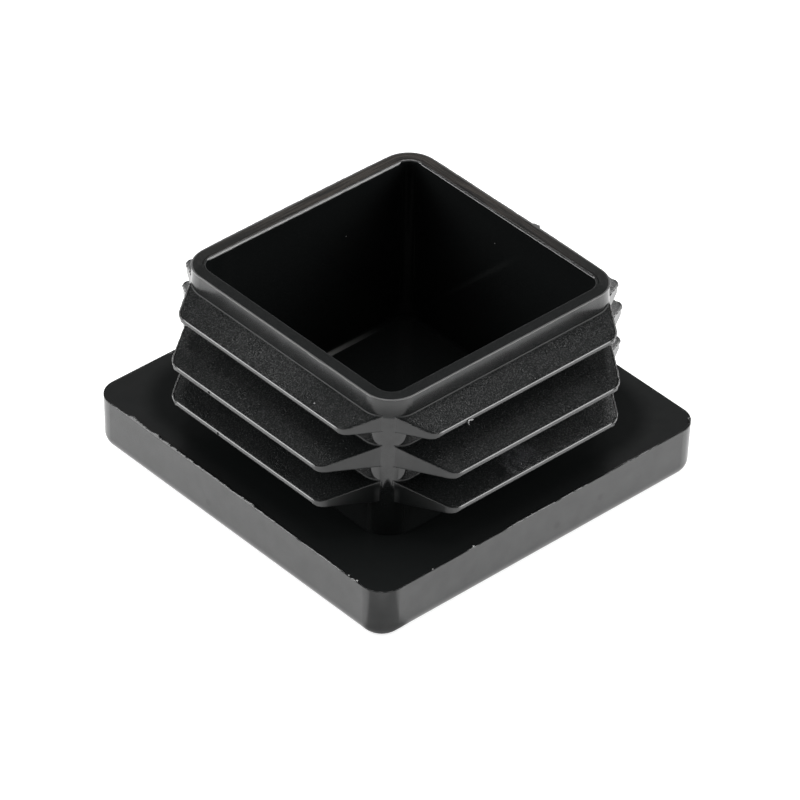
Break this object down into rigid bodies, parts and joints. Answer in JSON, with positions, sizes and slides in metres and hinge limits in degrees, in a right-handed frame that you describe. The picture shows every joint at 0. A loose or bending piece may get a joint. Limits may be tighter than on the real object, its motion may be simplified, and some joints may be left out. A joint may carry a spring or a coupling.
{
  "type": "tube end cap",
  "caption": "Square ribbed insert that closes the open end of a square tube: a flat square head with a hollow stem, and slanted flexible fins round the stem that grip the tube's inside.",
  "frame": {"origin": "centre of the head's flat outer face, on which the cap stands", "axes": "+Z along the stem towards its open rim; +X and +Y square to the head's sides"},
  "size_m": [0.05, 0.05, 0.0262],
  "materials": {
    "black_plastic": "smooth and glossy on the head and stem, fine spark-eroded grain on the fins"
  },
  "bodies": {
    "root": {"end_cap": "black_plastic"}
  },
  "joints": []
}
